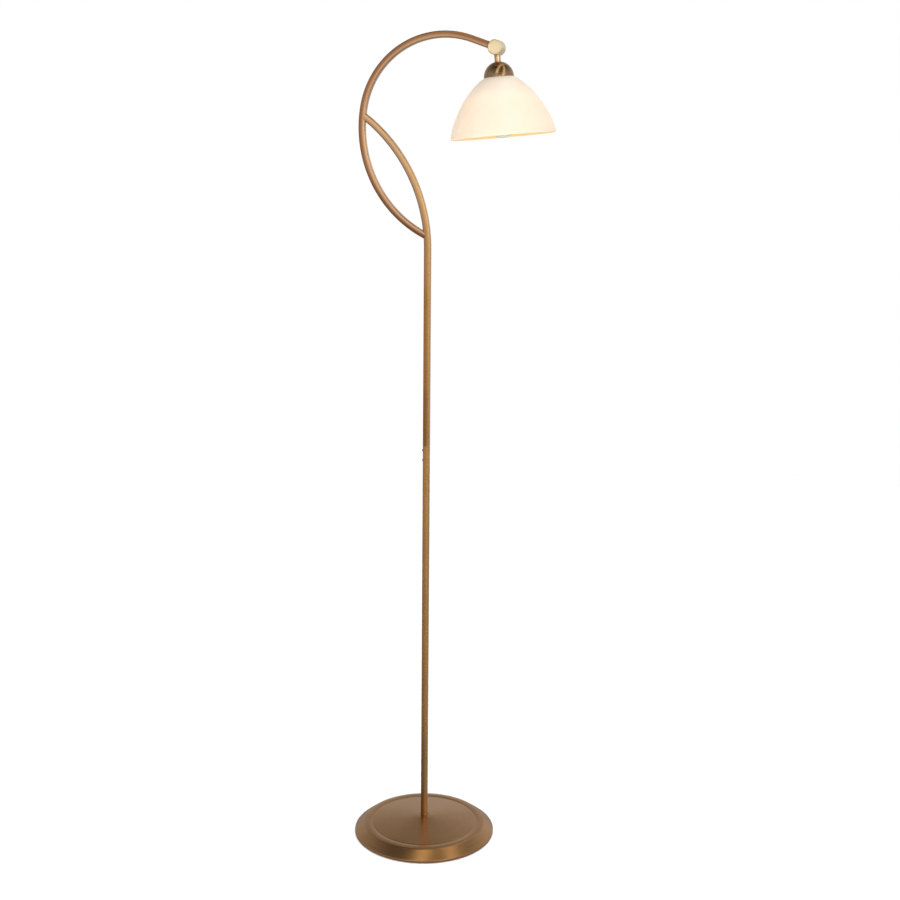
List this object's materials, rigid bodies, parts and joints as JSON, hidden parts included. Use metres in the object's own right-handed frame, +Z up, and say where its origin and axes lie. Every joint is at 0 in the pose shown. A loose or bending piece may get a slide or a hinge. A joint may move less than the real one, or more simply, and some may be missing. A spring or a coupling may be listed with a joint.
{
  "type": "pharmacy floor lamp",
  "caption": "Floor lamp with a round weighted base, a square tube pole, an arm curling up and over, and a tilting bell shade of opal glass.",
  "frame": {"origin": "middle of the base's underside, on the floor, below the pole", "axes": "+Z up along the pole; the arm curls in the XZ plane and the shade hangs on the +X side; +Y is the back, and the mains lead enters there, 13.6 degrees towards -X"},
  "size_m": [0.3598, 0.2688, 1.5],
  "materials": {
    "antique_bronze": "steel tube and sheet, brushed and plated antique bronze",
    "dark_bronze": "brushed steel, plated dark bronze",
    "pale_brass": "satin pale brass",
    "zinc_steel": "zinc plated",
    "cast_iron": "rough cast",
    "felt": "pressed felt",
    "black_rubber": "moulded",
    "cable_sheath": "smooth sheath",
    "fibre": "pressed fibre",
    "holder_plastic": "moulded thermoset",
    "holder_ceramic": "unglazed steatite",
    "contact_brass": "pressed brass",
    "opal_glass": "opal glass, cream, satin outside",
    "bulb_nickel": "pressed, thin",
    "bulb_glass": "frosted inside"
  },
  "bodies": {
    "stand": {"base_cover": "antique_bronze", "base_weight": "cast_iron", "base_pad": "felt", "base_stud": "zinc_steel", "base_washer": "zinc_steel", "base_nut": "zinc_steel", "cord_grommet": "black_rubber", "pole_foot_plug": "zinc_steel", "lower_pole": "antique_bronze", "joint_spigot": "zinc_steel", "joint_screws": "dark_bronze", "upper_pole": "antique_bronze", "arm": "antique_bronze", "inner_cable": "cable_sheath", "knuckle_tongue": "antique_bronze"},
    "head": {"knuckle_barrel": "pale_brass", "knuckle_bolt": "zinc_steel", "knuckle_nut": "zinc_steel", "friction_washers": "fibre", "knuckle_front_cap": "pale_brass", "knuckle_rear_cap": "pale_brass", "stem_nipple": "zinc_steel", "stem_sleeve": "dark_bronze", "cup": "dark_bronze", "cup_nut": "zinc_steel", "lampholder_cap": "holder_plastic", "lampholder_body": "holder_plastic", "lampholder_insert": "holder_ceramic", "lampholder_contact": "contact_brass", "lampholder_shell": "contact_brass", "shade_ring": "holder_plastic", "shade": "opal_glass", "bulb_base": "bulb_nickel", "bulb_glass": "bulb_glass", "head_cable": "cable_sheath"}
  },
  "joints": [
    {"name": "head_tilt", "type": "hinge", "parent": "stand", "child": "head", "pos_m": [0.11967, 0, 1.47097], "axis": [0, -1, 0], "range_deg": [-50, 75]}
  ]
}
